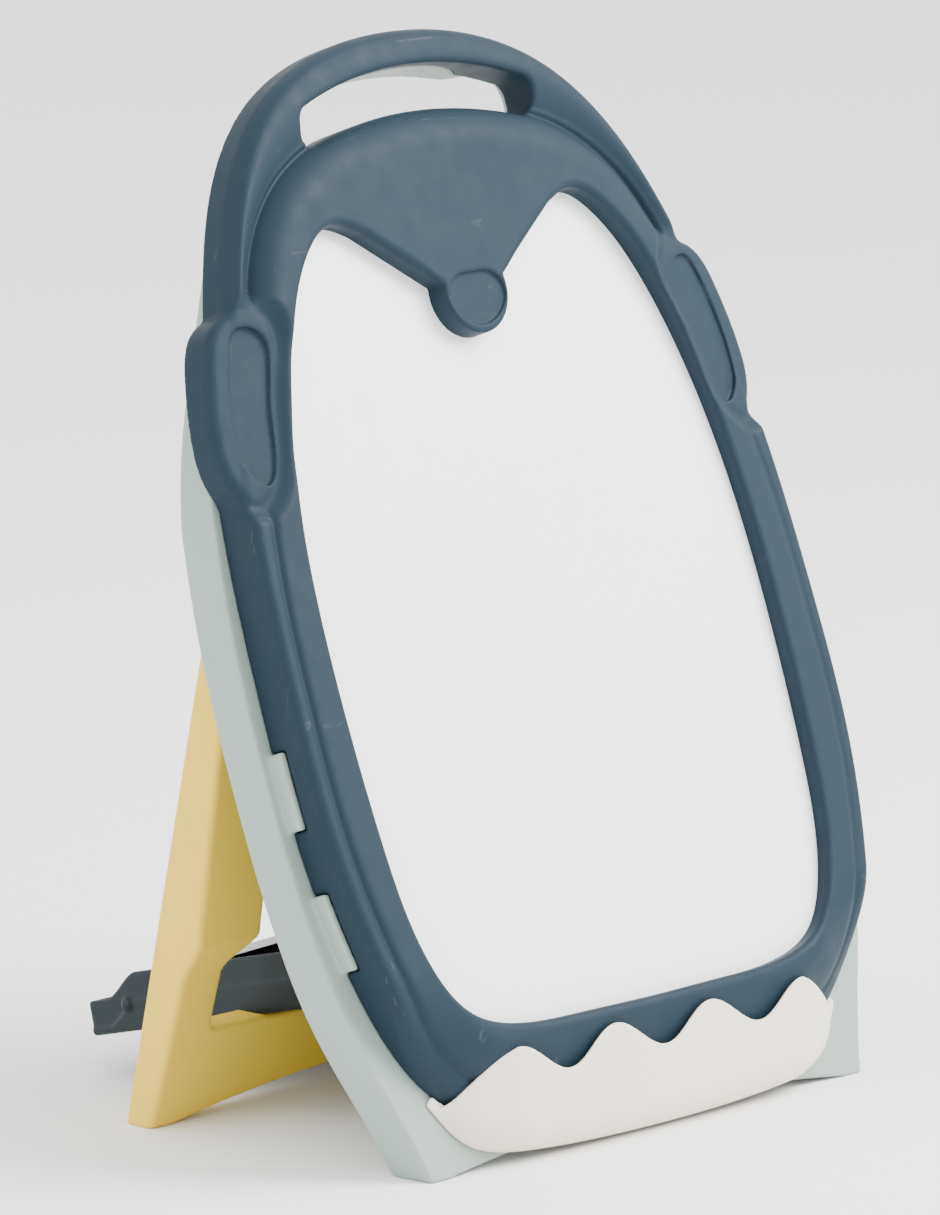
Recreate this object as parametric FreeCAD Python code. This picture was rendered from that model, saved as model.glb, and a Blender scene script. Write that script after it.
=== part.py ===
import FreeCAD, Part
import math
import os
from FreeCAD import Placement, Rotation, Vector

# Folding tabletop drawing easel for a child.  Millimetres and degrees.
#
# The board is modelled upright: X across it, Y into its depth with 0 at the face of the
# front frame, and Z up along it.  stand_up() then leans it back.  The leg and the shelf
# are modelled where they stand.  The object rests on Z = 0.

# ---- driving dimensions ---------------------------------------------------------------
LEAN = 20.2                # how far the board leans back
FRAME_DEPTH = 24.0         # front frame, from its face to its back edge
SHELL_DEPTH = 25.0         # rear shell, behind the front frame
BACK_DEPTH = FRAME_DEPTH + SHELL_DEPTH
WALL = 3.0                 # moulded wall
LEDGE = 5.0                # how far the shell's front edge reaches in under the frame
SHELL_WEB_FRONT = 30.0     # depth of the shell's inner web
SHELL_WEB_BACK = 33.0
SHELL_RIM = 6.0            # thickness of the rim round the back of the shell
HEAD_THIN_FROM = 330.0     # the shell's back slopes in from here,
HEAD_THIN_TO = 470.0       # down to its web behind the head
DEPTH_CENTRE = 152.02      # moves the whole easel so that it is centred front to back

RIM_DEPTH = 8.0            # from the frame's face down to the drawing surface
SHEET = 0.5                # coated steel drawing sheet
BACKING = 3.5              # stiff board behind the sheet

SLOPE_TOP = 64.0           # the frame's face falls back below this height
SLOPE_FALL = 14.0          # and is this deep at its lower edge

NOSE_CENTRE = 412.0        # height of the round nose along the board
NOSE_RADIUS = 21.0
NOTCH_HEIGHT = 5.0         # where the visor meets the nose, above the nose's centre

SCREW_SHANK = 1.5
SCREW_HEAD = 3.2
SCREW_HEAD_HEIGHT = 2.0
BOSS_RADIUS = 4.5
SCREW_SPOTS = [(166, 285), (169, 205), (164, 130), (137, 75), (92, 479), (147, 395)]
TRAY_SCREW_SPOT = (118, 27)

PIN_RADIUS = 3.0
PIN_PLAY = 0.05
PIN_HEAD = 4.8
PIN_HEAD_LENGTH = 1.5
EAR_RADIUS = 6.3
EAR_WIDTH = 4.5

LEG_HINGE = (303.4, 43.0)  # along the board, and depth behind its face
LEG_OUTSIDE = 165.0        # half the width over both rails
LEG_DEPTH = 18.0
LEG_TILT = 12.27           # rails against the vertical
RAIL_WIDE_INSIDE = 122.0   # inner edge of the rail, above its shoulder
RAIL_SLIM_INSIDE = 137.0   # and below it
RAIL_TOP_INSIDE = 126.0
RAIL_TOP_OUTSIDE = 158.0
SHOULDER_TOP = 94.0
SHOULDER_BOTTOM = 77.0
CROSSBAR_TOP = 46.2
SHOULDER_ROUND = 6.0
WINDOW_ROUND = 5.0
LEG_ROUND = 2.5
LEG_RIBS = 4               # ribs across the channel in each rail
RIB = 2.5
HINGE_ROOM = 11.0          # radius cleared round the hinge ears

SHELF_HINGE = (115.5, 42.0)
SHELF_SLOPE = 14.3         # the shelf falls towards the rear
SHELF_HALF_WIDTH = 100.0
SHELF_LENGTH = 232.0       # from its hinge to its rear end
SHELF_ABOVE = 8.5          # top edge above the hinge
SHELF_BELOW = 20.1         # underside below the hinge
SHELF_TAIL_TOP = -3.0      # top of the low rear end, against the hinge
PLATE_THICKNESS = 3.7      # cover over the middle of the shelf
PLATE_START = 93.0         # along the shelf, from its hinge
PLATE_END = 186.0
PLATE_TOP = 16.5           # top of the cover's front end, above the hinge
PLATE_TILT = 5.3           # how much more than the shelf it falls
REST_GAP = 0.3

# Half outlines, from the top centre down the right side to the bottom centre.
FRAME_HALF = [(0, 542), (50, 536.5), (94, 518), (124, 489), (144, 453), (159, 411), (171, 365),
              (179, 310), (182.5, 240), (181, 165), (174, 122), (160, 78), (138, 47), (100, 30),
              (50, 23), (0, 21)]
SHELL_HALF = [(0, 537), (50, 531), (92, 511), (118, 482), (138, 445), (156, 405), (172, 366),
              (183, 318), (189.5, 262), (191, 200), (188, 135), (180, 90), (166, 52), (153, 15),
              (141, -22), (108, -55), (0, -70)]
SHEET_HALF = [(0, 468), (60, 466), (102, 449), (130, 411), (146, 364), (156, 305), (158, 235),
              (156, 160), (147, 108), (128, 76), (96, 63), (50, 61.5), (0, 61.5)]

# The drawing area's edge, from the visor's tip down the right side to the bottom centre.
RIM_HALF = [(64, 447), (83, 453), (104, 440), (124, 408), (139, 363), (149, 305), (152, 235),
            (149.5, 163), (141, 112), (122, 82), (92, 71.5), (50, 69.5), (0, 69)]

# Round the right ear pad, and round its pocket.
EAR_LOOP = [(137, 415), (153, 421), (168, 414), (177, 395), (183, 365), (181, 344), (168, 330),
            (156, 339), (148, 362), (141, 388)]
EAR_POCKET = [(143, 411), (155, 413), (163, 401), (168, 384), (171, 361), (168, 347),
              (160, 341), (153, 352), (147, 380)]
EAR_RAISE = 0.0
POCKET_DEPTH = 2.0
NOSE_POCKET = [(0, 420.5), (13, 419), (19, 411), (13, 400), (0, 395), (-13, 400), (-19, 411),
               (-13, 419)]

# The crease between the head and the band above it.
CREASE = [(79, 491), (104, 478), (124, 459), (137, 437), (143, 420)]
CREASE_RADIUS = 3.0

# The hand hole: corner heights, and the crowns of its two arcs.
HAND_HALF_WIDTH = 79.0
HAND_CORNERS = (493.0, 511.0)
HAND_CROWNS = (503.0, 523.5)
HAND_ROUNDING = 6.0

SIDE_TABS = [(113, 150), (181, 218)]
TAB_FRONT = 15.5
TAB_OUT = 2.5
TAB_IN = 1.3               # how far the tabs sink into the frame's side
TAB_GAP = 0.4

# Pen tray: its lower curve from the right tip to the bottom centre, and its front teeth.
TRAY_CURVE = [(150, 42), (139, 29), (118, 18.5), (80, 12.5), (40, 10.5), (0, 10)]
TRAY_FRONT = -3.0          # depth of the tray's front face
TRAY_WALL = 2.0
TOOTH_PITCH = 66.6
TOOTH_PEAK = 60.0
TOOTH_VALLEY = 45.5
TRAY_END_REACH = 132.0     # half width of the tray's front edge

# Underside of the feet: flat ends with a low arch between them.
FOOT_FLAT_FROM = 140.0
SHELL_ARCH = 9.0
LEG_ARCH_FROM = 150.0
LEG_ARCH = 14.0

FAR = 400.0


# ---- curves and solids ------------------------------------------------------------------
def mirrored(half):
    """The points of a closed loop, from half of it that starts and ends on the centre line."""
    return half + [(-across, up) for across, up in reversed(half[1:-1])]


def moved_out(points, distance, closed=True):
    """Each point moved square to a clockwise curve, outwards by distance."""
    count = len(points)
    result = []
    for index, (across, up) in enumerate(points):
        before = points[index - 1] if closed or index > 0 else points[0]
        after = points[(index + 1) % count] if closed or index < count - 1 else points[-1]
        along = Vector(after[0] - before[0], 0, after[1] - before[1]).normalize()
        result.append(Vector(across - distance * along.z, 0, up + distance * along.x))
    return result


def loop_wire(points, grow=0.0):
    """Smooth closed wire through clockwise points, moved outwards by grow."""
    curve = Part.BSplineCurve()
    curve.interpolate(Points=moved_out(points, grow), PeriodicFlag=True)
    return Part.Wire([curve.toShape()])


def prism(wire, front, back):
    """Solid between two depths of the board."""
    face = Part.Face(wire)
    face.translate(Vector(0, front, 0))
    return face.extrude(Vector(0, back - front, 0))


def loop_prism(points, grow, front, back):
    return prism(loop_wire(points, grow), front, back)


def rim_prism(grow, front, back):
    """The drawing area, with the visor and the nose left out of it."""
    side = RIM_HALF + [(-across, up) for across, up in reversed(RIM_HALF[:-1])]
    points = moved_out(side, grow, closed=False)
    curve = Part.BSplineCurve()
    curve.interpolate(Points=points)
    radius = NOSE_RADIUS - grow
    rise = math.asin((NOTCH_HEIGHT + 0.8 * grow) / radius)
    notch = Vector(radius * math.cos(rise), 0, NOSE_CENTRE + radius * math.sin(rise))
    left_notch = Vector(-notch.x, 0, notch.z)
    chin = Vector(0, 0, NOSE_CENTRE - radius)
    edges = [curve.toShape(),
             Part.makeLine(points[-1], left_notch),
             Part.Arc(left_notch, chin, notch).toShape(),
             Part.makeLine(notch, points[0])]
    return prism(Part.Wire(edges), front, back)


def hand_hole(grow, front, back):
    """The hole under the carrying handle."""
    half = HAND_HALF_WIDTH + grow
    low = HAND_CORNERS[0] - grow
    high = HAND_CORNERS[1] + grow
    edges = [Part.Arc(Vector(-half, 0, low), Vector(0, 0, HAND_CROWNS[0] - grow), Vector(half, 0, low)).toShape(),
             Part.makeLine(Vector(half, 0, low), Vector(half, 0, high)),
             Part.Arc(Vector(half, 0, high), Vector(0, 0, HAND_CROWNS[1] + grow), Vector(-half, 0, high)).toShape(),
             Part.makeLine(Vector(-half, 0, high), Vector(-half, 0, low))]
    solid = prism(Part.Wire(edges), front, back)
    upright = [edge for edge in solid.Edges
               if abs(edge.tangentAt(edge.FirstParameter).y) > 0.99]
    return solid.makeFillet(HAND_ROUNDING + grow, upright)


def box(x_range, y_range, z_range):
    size = [high - low for low, high in (x_range, y_range, z_range)]
    return Part.makeBox(*size, Vector(x_range[0], y_range[0], z_range[0]))


def rod(radius, start, length, direction):
    return Part.makeCylinder(radius, length, start, direction)


def rounded_front(solid, depth, radius):
    """Round the edges that lie flat in the plane at this depth."""
    edges = [edge for edge in solid.Edges
             if abs(edge.BoundBox.YMin - depth) < 0.01 and abs(edge.BoundBox.YMax - depth) < 0.01]
    return solid.makeFillet(radius, edges)


def mirror_x(shape):
    return shape.mirror(Vector(0, 0, 0), Vector(1, 0, 0))


def both_sides(shape):
    return [shape, mirror_x(shape)]


def stand_up(shape):
    """Lean a board part back on its feet."""
    shape = shape.copy()
    shape.Placement = Placement(Vector(0, 0, 0), Rotation(Vector(1, 0, 0), -LEAN)).multiply(shape.Placement)
    return shape


def board_to_side(along, depth):
    """Y and Z on the ground frame of a point on the board."""
    lean = math.radians(LEAN)
    return (along * math.sin(lean) + depth * math.cos(lean),
            along * math.cos(lean) - depth * math.sin(lean))


def save(name, shape):
    shape = shape.copy()
    shape.translate(Vector(0, -DEPTH_CENTRE, 0))
    shape.exportStep("parts/%s.step" % name)


# ---- the board --------------------------------------------------------------------------
def screw_points():
    """Screw positions on both sides of the board."""
    return [(side * across, up) for across, up in SCREW_SPOTS for side in (1, -1)]


def front_frame():
    """Penguin-shaped bezel with ear pads, visor, nose and carrying handle."""
    solid = rounded_front(loop_prism(mirrored(FRAME_HALF), 0, 0, FRAME_DEPTH), 0, WALL + 2)
    for ear in both_sides(rounded_front(loop_prism(EAR_LOOP, 0, -EAR_RAISE, FRAME_DEPTH), -EAR_RAISE, 2.5)):
        solid = solid.fuse(ear)
    hollow = loop_prism(mirrored(FRAME_HALF), -WALL, WALL, FRAME_DEPTH)
    hollow = hollow.cut(rim_prism(WALL, 0, RIM_DEPTH)).cut(lower_slope(WALL))
    hollow = hollow.cut(hand_hole(WALL, -1, FRAME_DEPTH + 1))
    for across, up in screw_points():
        hollow = hollow.cut(rod(BOSS_RADIUS, Vector(across, 0, up), FRAME_DEPTH, Vector(0, 1, 0)))
    solid = solid.cut(hollow).cut(lower_slope(0))
    solid = solid.cut(rim_prism(0, -EAR_RAISE - 1, FRAME_DEPTH + 1))
    solid = solid.cut(hand_hole(0, -1, FRAME_DEPTH + 1))
    for pocket in both_sides(loop_prism(EAR_POCKET, 0, -EAR_RAISE - 1, POCKET_DEPTH - EAR_RAISE)):
        solid = solid.cut(pocket)
    solid = solid.cut(loop_prism(NOSE_POCKET, 0, -1, POCKET_DEPTH / 2))
    for groove in both_sides(crease_groove()):
        solid = solid.cut(groove)
    for notch in tab_blocks(TAB_GAP):
        solid = solid.cut(notch)
    for across, up in screw_points():
        solid = solid.fuse(rod(BOSS_RADIUS, Vector(across, FRAME_DEPTH - 1, up),
                               SHELL_WEB_FRONT - FRAME_DEPTH + 1, Vector(0, 1, 0)))
        solid = solid.cut(rod(SCREW_SHANK + PIN_PLAY, Vector(across, RIM_DEPTH, up),
                              BACK_DEPTH, Vector(0, 1, 0)))
    return solid


def lower_slope(inset):
    """What lies before the frame's lower face, which falls back to leave room in the tray."""
    run = SLOPE_TOP - FRAME_HALF[-1][1]
    upper = Vector(-FAR, inset - SLOPE_FALL, SLOPE_TOP + run)
    lower = Vector(-FAR, inset + 2 * SLOPE_FALL, SLOPE_TOP - 2 * run)
    corners = [upper, lower, Vector(-FAR, -FAR, lower.z), Vector(-FAR, -FAR, upper.z), upper]
    return Part.Face(Part.makePolygon(corners)).extrude(Vector(2 * FAR, 0, 0))


def crease_groove():
    """Half-round groove that follows the head on its right side."""
    curve = Part.BSplineCurve()
    curve.interpolate(Points=[Vector(across, 0, up) for across, up in CREASE])
    path = Part.Wire([curve.toShape()])
    start = curve.value(curve.FirstParameter)
    heading = curve.tangent(curve.FirstParameter)[0]
    ring = Part.Wire([Part.makeCircle(CREASE_RADIUS, start, heading)])
    return path.makePipeShell([ring], True, False)


def tab_blocks(gap):
    """The four side tabs that lap over the frame's side wall, or their notches with a gap."""
    outline = mirrored(FRAME_HALF)
    outer = loop_prism(outline, TAB_OUT, TAB_FRONT - gap, FRAME_DEPTH)
    band = outer.cut(loop_prism(outline, -TAB_IN - gap, TAB_FRONT - 1, FRAME_DEPTH + 1))
    blocks = []
    for low, high in SIDE_TABS:
        side = band.common(box((FOOT_FLAT_FROM, FAR), (0, FRAME_DEPTH), (low - gap, high + gap)))
        blocks += both_sides(side)
    return blocks


def foot_cutter(flat_from, arch):
    """What lies under the feet: level ground, with a low arch between the feet."""
    arc = Part.Arc(Vector(-flat_from, -FAR, 0), Vector(0, -FAR, arch), Vector(flat_from, -FAR, 0)).toShape()
    corners = [Vector(flat_from, -FAR, 0), Vector(FAR, -FAR, 0), Vector(FAR, -FAR, -FAR),
               Vector(-FAR, -FAR, -FAR), Vector(-FAR, -FAR, 0), Vector(-flat_from, -FAR, 0)]
    wire = Part.Wire([arc] + Part.makePolygon(corners).Edges)
    return Part.Face(wire).extrude(Vector(0, 2 * FAR, 0))


def hinge_ears(centre, insides):
    """Pairs of ears on the shell's web that carry a hinge pin, bored for it."""
    along, depth = centre
    ears = []
    for inside in insides:
        root = box((inside, inside + EAR_WIDTH), (SHELL_WEB_BACK - 1, depth),
                   (along - EAR_RADIUS, along + EAR_RADIUS))
        eye = rod(EAR_RADIUS, Vector(inside, depth, along), EAR_WIDTH, Vector(1, 0, 0))
        bore = rod(PIN_RADIUS + PIN_PLAY, Vector(inside - 1, depth, along), EAR_WIDTH + 2, Vector(1, 0, 0))
        ears += both_sides(root.fuse(eye).cut(bore))
    return ears


def head_slope():
    """What is cut from the back of the shell, which gets thinner behind the head."""
    corners = [Vector(-FAR, BACK_DEPTH, HEAD_THIN_FROM), Vector(-FAR, SHELL_WEB_BACK, HEAD_THIN_TO),
               Vector(-FAR, SHELL_WEB_BACK, 2 * FAR), Vector(-FAR, FAR, 2 * FAR),
               Vector(-FAR, FAR, HEAD_THIN_FROM)]
    return Part.Face(Part.makePolygon(corners + [corners[0]])).extrude(Vector(2 * FAR, 0, 0))


LEG_EAR_INSIDES = (RAIL_TOP_INSIDE - 0.5 - EAR_WIDTH, RAIL_TOP_OUTSIDE + 0.5)
SHELF_EAR_INSIDE = SHELF_HALF_WIDTH - WALL - 0.5 - EAR_WIDTH


def rear_shell():
    """Back moulding with the feet, the side tabs and the hinge ears."""
    outline = mirrored(SHELL_HALF)
    solid = loop_prism(outline, 0, FRAME_DEPTH, BACK_DEPTH)
    back_room = loop_prism(outline, -SHELL_RIM, SHELL_WEB_BACK, BACK_DEPTH + 1)
    back_room = back_room.cut(box((-FAR, FAR), (0, FAR), (-FAR, 30)))
    front_room = loop_prism(mirrored(FRAME_HALF), -LEDGE, FRAME_DEPTH - 1, SHELL_WEB_FRONT)
    front_room = front_room.common(loop_prism(outline, -WALL, FRAME_DEPTH - 1, SHELL_WEB_FRONT))
    hand_wall = hand_hole(WALL, 0, BACK_DEPTH + 1)
    solid = solid.cut(back_room.cut(hand_wall)).cut(front_room.cut(hand_wall))
    solid = solid.cut(hand_hole(0, 0, BACK_DEPTH + 1))
    for block in tab_blocks(0):
        solid = solid.fuse(block)
    for ear in hinge_ears(LEG_HINGE, LEG_EAR_INSIDES) + hinge_ears(SHELF_HINGE, (SHELF_EAR_INSIDE,)):
        solid = solid.fuse(ear)
    for across, up in screw_points():
        solid = solid.cut(rod(SCREW_SHANK + PIN_PLAY, Vector(across, FRAME_DEPTH, up),
                              SHELL_DEPTH, Vector(0, 1, 0)))
    across, up = TRAY_SCREW_SPOT
    for side in (1, -1):
        solid = solid.cut(rod(SCREW_SHANK + PIN_PLAY, Vector(side * across, FRAME_DEPTH - 1, up),
                              SHELL_WEB_FRONT - FRAME_DEPTH + 2, Vector(0, 1, 0)))
    return stand_up(solid.cut(head_slope())).cut(foot_cutter(FOOT_FLAT_FROM, SHELL_ARCH))


def drawing_sheet():
    """White coated steel sheet, held against the inside of the rim."""
    return loop_prism(mirrored(SHEET_HALF), 0, RIM_DEPTH, RIM_DEPTH + SHEET)


def backing_board():
    """Stiff board behind the drawing sheet."""
    front = RIM_DEPTH + SHEET
    return loop_prism(mirrored(SHEET_HALF), -1, front, front + BACKING)


def tooth_height(across):
    """Height of the tray's wavy front edge."""
    middle = (TOOTH_PEAK + TOOTH_VALLEY) / 2
    swing = (TOOTH_PEAK - TOOTH_VALLEY) / 2
    return middle - swing * math.cos(2 * math.pi * across / TOOTH_PITCH)


def tray_region(grow, top_points):
    """Flat outline of the tray: its lower curve, closed by the given top edge."""
    lower = [(-across, up) for across, up in TRAY_CURVE]
    lower += list(reversed(TRAY_CURVE[:-1]))
    moved = moved_out(list(reversed(lower)), grow, closed=False)
    curve = Part.BSplineCurve()
    curve.interpolate(Points=moved)
    first, last = moved[0], moved[-1]
    top = Part.makePolygon([last] + [Vector(across, 0, up) for across, up in top_points] + [first])
    return Part.Wire([curve.toShape()] + top.Edges)


def pen_tray():
    """Cream trough round the foot of the frame, with a toothed front edge."""
    steps = 66
    span = 2 * TRAY_END_REACH
    teeth = [(-TRAY_END_REACH + span * step / steps,
              tooth_height(-TRAY_END_REACH + span * step / steps)) for step in range(steps + 1)]
    block = prism(tray_region(0, teeth), TRAY_FRONT, FRAME_DEPTH)
    high = [(-TRAY_END_REACH, TOOTH_PEAK + WALL), (TRAY_END_REACH, TOOTH_PEAK + WALL)]
    room = prism(tray_region(-TRAY_WALL, high), TRAY_FRONT + TRAY_WALL, FRAME_DEPTH - TRAY_WALL)
    tray = block.cut(room)
    tray = tray.cut(loop_prism(mirrored(FRAME_HALF), REST_GAP, -REST_GAP, FRAME_DEPTH + 1))
    end_front = box((FOOT_FLAT_FROM, FAR), (TRAY_FRONT - 1, 2), (-FAR, FAR))
    for end in both_sides(end_front):
        tray = tray.cut(end)
    across, up = TRAY_SCREW_SPOT
    for side in (1, -1):
        tray = tray.cut(rod(SCREW_SHANK + PIN_PLAY, Vector(side * across, 0, up), FRAME_DEPTH + 1,
                            Vector(0, 1, 0)))
    return max(tray.Solids, key=lambda piece: piece.Volume)


def screw(head_at, shank_end, across, up):
    """Round-headed screw along the board's depth."""
    inwards = 1 if shank_end > head_at else -1
    direction = Vector(0, inwards, 0)
    head = rod(SCREW_HEAD, Vector(across, head_at - inwards * SCREW_HEAD_HEIGHT, up),
               SCREW_HEAD_HEIGHT, direction)
    return head.fuse(rod(SCREW_SHANK, Vector(across, head_at, up), abs(shank_end - head_at), direction))


def frame_screws():
    screws = [screw(SHELL_WEB_BACK, RIM_DEPTH + 2, across, up) for across, up in screw_points()]
    return Part.makeCompound(screws)


def tray_screws():
    across, up = TRAY_SCREW_SPOT
    return Part.makeCompound(both_sides(screw(FRAME_DEPTH - TRAY_WALL, SHELL_WEB_FRONT, across, up)))


# ---- hinge pins ---------------------------------------------------------------------------
def hinge_pin(centre, inside, outside):
    """Headed pin through a hinge on the right side; its head is on the outside."""
    along, depth = centre
    shank = rod(PIN_RADIUS, Vector(inside, depth, along), outside - inside, Vector(1, 0, 0))
    head = rod(PIN_HEAD, Vector(outside, depth, along), PIN_HEAD_LENGTH, Vector(1, 0, 0))
    return stand_up(shank.fuse(head))


def pin_washer(centre, inside):
    """Push-on ring that keeps the pin in, on its inner end."""
    along, depth = centre
    ring = rod(PIN_HEAD, Vector(inside, depth, along), PIN_HEAD_LENGTH, Vector(1, 0, 0))
    return stand_up(ring.cut(rod(PIN_RADIUS, Vector(inside - 1, depth, along), EAR_WIDTH, Vector(1, 0, 0))))


# ---- the leg ------------------------------------------------------------------------------
def leg_side_profile():
    """The rails seen from the side: a straight bar from the hinge to the ground."""
    hinge_y, hinge_z = board_to_side(*LEG_HINGE)
    tilt = math.radians(LEG_TILT)
    down = Vector(0, math.sin(tilt), -math.cos(tilt))
    across = Vector(0, math.cos(tilt), math.sin(tilt)) * (LEG_DEPTH / 2)
    top = Vector(-FAR, hinge_y, hinge_z)
    foot = top + down * (hinge_z / math.cos(tilt) + LEG_DEPTH)
    corners = [top + across, foot + across, foot - across, top - across, top + across]
    bar = Part.Face(Part.makePolygon(corners)).extrude(Vector(2 * FAR, 0, 0))
    return bar.fuse(rod(LEG_DEPTH / 2, top, 2 * FAR, Vector(1, 0, 0)))


def leg_front_outline(inset):
    """The leg frame seen from the front, drawn in by an inset: two rails and a bottom bar."""
    outside = LEG_OUTSIDE - inset
    wide = RAIL_WIDE_INSIDE + inset
    slim = RAIL_SLIM_INSIDE + inset
    corners = [(slim, CROSSBAR_TOP - inset), (slim, SHOULDER_BOTTOM),
               (slim - SHOULDER_ROUND / 2, SHOULDER_BOTTOM + SHOULDER_ROUND),
               (wide + SHOULDER_ROUND / 2, SHOULDER_TOP - SHOULDER_ROUND), (wide, SHOULDER_TOP), (wide, FAR)]
    loop = [Vector(across, 0, up) for across, up in corners]
    loop += [Vector(-across, 0, up) for across, up in reversed(corners)]
    window = Part.Face(Part.makePolygon(loop + [loop[0]])).extrude(Vector(0, FAR, 0))
    upright = [edge for edge in window.Edges
               if edge.BoundBox.YLength > 1 and edge.BoundBox.ZMax < SHOULDER_TOP + 1]
    return box((-outside, outside), (0, FAR), (0, FAR)).cut(window.makeFillet(WINDOW_ROUND, upright))


def leg_channel():
    """Hollow in the back of the leg, parted by level ribs."""
    hinge_y, hinge_z = board_to_side(*LEG_HINGE)
    rearwards = WALL / math.cos(math.radians(LEG_TILT))
    channel = leg_front_outline(WALL).common(leg_side_profile().translated(Vector(0, rearwards, 0)))
    channel = channel.common(box((-FAR, FAR), (0, FAR), (0, hinge_z - 2 * HINGE_ROOM)))
    channel = channel.cut(foot_cutter(LEG_ARCH_FROM, LEG_ARCH).translated(Vector(0, 0, WALL)))
    for number in range(1, 1 + LEG_RIBS):
        up = CROSSBAR_TOP + number * (hinge_z - 2 * HINGE_ROOM - CROSSBAR_TOP) / (1 + LEG_RIBS)
        channel = channel.cut(box((-FAR, FAR), (0, FAR), (up - RIB / 2, up + RIB / 2)))
    return channel


def leg_frame():
    """U-shaped rear leg that swings on two pins."""
    solid = leg_front_outline(0).common(leg_side_profile())
    hinge_y, hinge_z = board_to_side(*LEG_HINGE)
    for low, high in ((0, RAIL_TOP_INSIDE), (RAIL_TOP_OUTSIDE, FAR)):
        for room in both_sides(rod(HINGE_ROOM, Vector(low, hinge_y, hinge_z), high - low, Vector(1, 0, 0))):
            solid = solid.cut(room)
    solid = solid.cut(rod(PIN_RADIUS + PIN_PLAY, Vector(-FAR, hinge_y, hinge_z), 2 * FAR, Vector(1, 0, 0)))
    solid = solid.cut(foot_cutter(LEG_ARCH_FROM, LEG_ARCH))
    outer_edges = [edge for edge in solid.Edges
                   if edge.Length > 60 and edge.BoundBox.XLength < 1
                   and abs(edge.CenterOfMass.x) > LEG_OUTSIDE - 1]
    solid = solid.makeFillet(LEG_ROUND, outer_edges)
    under_shelf = shelf_block(SHELF_BELOW + REST_GAP, 2 * SHELF_LENGTH, LEG_OUTSIDE - WALL)
    keep_rails = box((-RAIL_SLIM_INSIDE, RAIL_SLIM_INSIDE), (0, FAR), (0, SHOULDER_BOTTOM))
    return solid.cut(under_shelf.common(keep_rails)).cut(leg_channel())


# ---- the shelf ----------------------------------------------------------------------------
def shelf_place(shape):
    """Put a shelf shape, made level with its hinge at the origin, on its hinge and slope."""
    hinge_y, hinge_z = board_to_side(*SHELF_HINGE)
    shape = shape.copy()
    shape.Placement = Placement(Vector(0, hinge_y, hinge_z), Rotation(Vector(1, 0, 0), -SHELF_SLOPE))
    return shape


def shelf_block(below, length, half_width):
    """Space over the underside of the shelf."""
    return shelf_place(box((-half_width, half_width), (-SHELF_ABOVE, length), (-below, FAR / 4)))


def shelf_profile(inset, half_width):
    """The shelf seen from the side, made level: rounded at its hinge, low at its rear."""
    top = SHELF_ABOVE - inset
    tail_top = SHELF_TAIL_TOP - inset
    bottom = -SHELF_BELOW + inset
    rear = SHELF_LENGTH - inset
    front = -SHELF_ABOVE + inset
    ease = Part.BezierCurve()
    ease.setPoles([Vector(-half_width, SHELF_LENGTH - 36, top), Vector(-half_width, SHELF_LENGTH - 22, top),
                   Vector(-half_width, SHELF_LENGTH - 24, tail_top), Vector(-half_width, SHELF_LENGTH - 10, tail_top)])
    corner = math.sqrt(0.5) * top
    arc = Part.Arc(Vector(-half_width, front, 0), Vector(-half_width, -corner, corner),
                   Vector(-half_width, 0, top)).toShape()
    rest = [Vector(-half_width, SHELF_LENGTH - 10, tail_top), Vector(-half_width, rear, tail_top),
            Vector(-half_width, rear, bottom), Vector(-half_width, front, bottom), Vector(-half_width, front, 0)]
    edges = [arc, Part.makeLine(Vector(-half_width, 0, top), Vector(-half_width, SHELF_LENGTH - 36, top)),
             ease.toShape()] + Part.makePolygon(rest).Edges
    return Part.Face(Part.Wire(edges)).extrude(Vector(2 * half_width, 0, 0))


def spreader_shelf():
    """Open-topped shelf that rests on the leg's bar and holds the leg apart from the board."""
    outer = shelf_profile(0, SHELF_HALF_WIDTH)
    inside = SHELF_HALF_WIDTH - WALL
    room = box((-inside, inside), (-FAR, SHELF_LENGTH - WALL), (-SHELF_BELOW + WALL, FAR))
    solid = outer.cut(room)
    for spot in both_sides(rod(4.0, Vector(SHELF_HALF_WIDTH, SHELF_LENGTH - 28, -7), 2.0, Vector(1, 0, 0))):
        solid = solid.fuse(spot)
    solid = solid.cut(rod(PIN_RADIUS + PIN_PLAY, Vector(-FAR, 0, 0), 2 * FAR, Vector(1, 0, 0)))
    return shelf_place(solid)


def shelf_plate():
    """Light cover over the middle of the shelf, standing on two flanges inside it."""
    inside = SHELF_HALF_WIDTH - WALL - 1
    floor = -SHELF_BELOW + WALL
    length = PLATE_END - PLATE_START
    fall = length * math.tan(math.radians(PLATE_TILT))
    top = [Vector(-inside, PLATE_START, PLATE_TOP), Vector(-inside, PLATE_END, PLATE_TOP - fall)]
    rear_inside = PLATE_TOP - fall - PLATE_THICKNESS
    front_inside = PLATE_TOP - PLATE_THICKNESS
    under = [Vector(-inside, PLATE_END, floor), Vector(-inside, PLATE_END - PLATE_THICKNESS, floor),
             Vector(-inside, PLATE_END - PLATE_THICKNESS, rear_inside),
             Vector(-inside, PLATE_START + PLATE_THICKNESS, front_inside),
             Vector(-inside, PLATE_START + PLATE_THICKNESS, floor), Vector(-inside, PLATE_START, floor)]
    side = Part.Face(Part.makePolygon(top + under + [top[0]]))
    return shelf_place(side.extrude(Vector(2 * inside, 0, 0)))


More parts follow.
